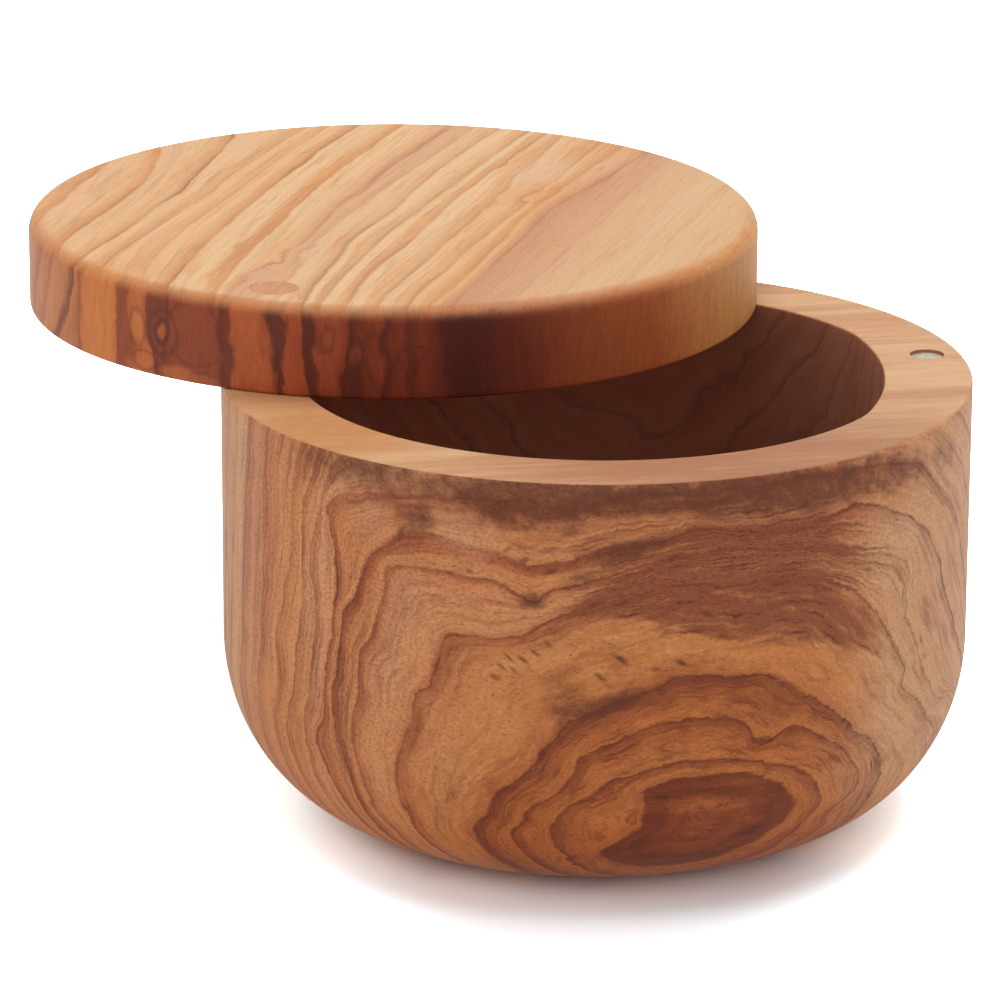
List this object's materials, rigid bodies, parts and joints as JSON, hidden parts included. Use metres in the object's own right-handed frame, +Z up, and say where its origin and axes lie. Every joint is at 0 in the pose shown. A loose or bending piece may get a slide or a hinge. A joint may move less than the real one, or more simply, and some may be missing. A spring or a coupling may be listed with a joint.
{
  "type": "salt box with swivel lid",
  "caption": "Round wooden salt box: a thick-walled turned bowl whose flat disc lid swings sideways on an upright pivot screw and closes on hidden magnets.",
  "frame": {"origin": "centre of the bowl's flat base, on the surface that it stands on", "axes": "+Z up along the bowl's axis, -X towards the pivot screw, +Y towards the side the lid is swung to at rest"},
  "size_m": [0.1423, 0.1586, 0.0818],
  "materials": {
    "bowl_wood": "satin",
    "lid_wood": "satin",
    "plug_wood": "satin",
    "pivot_steel": "satin",
    "magnet_nickel": "satin",
    "magnet_glue": "gloss"
  },
  "bodies": {
    "bowl_body": {"bowl": "bowl_wood", "pivot_screw": "pivot_steel", "rim_magnet": "magnet_nickel", "rim_magnet_glue": "magnet_glue"},
    "lid_body": {"lid": "lid_wood", "pivot_plug": "plug_wood", "pivot_washer": "pivot_steel", "lid_magnet": "magnet_nickel", "lid_magnet_glue": "magnet_glue"}
  },
  "joints": [
    {"name": "lid_swivel", "type": "hinge", "parent": "bowl_body", "child": "lid_body", "pos_m": [-0.0489, 0, 0.0715], "axis": [0, 0, 1], "range_deg": [-64.4, 115.6]}
  ]
}
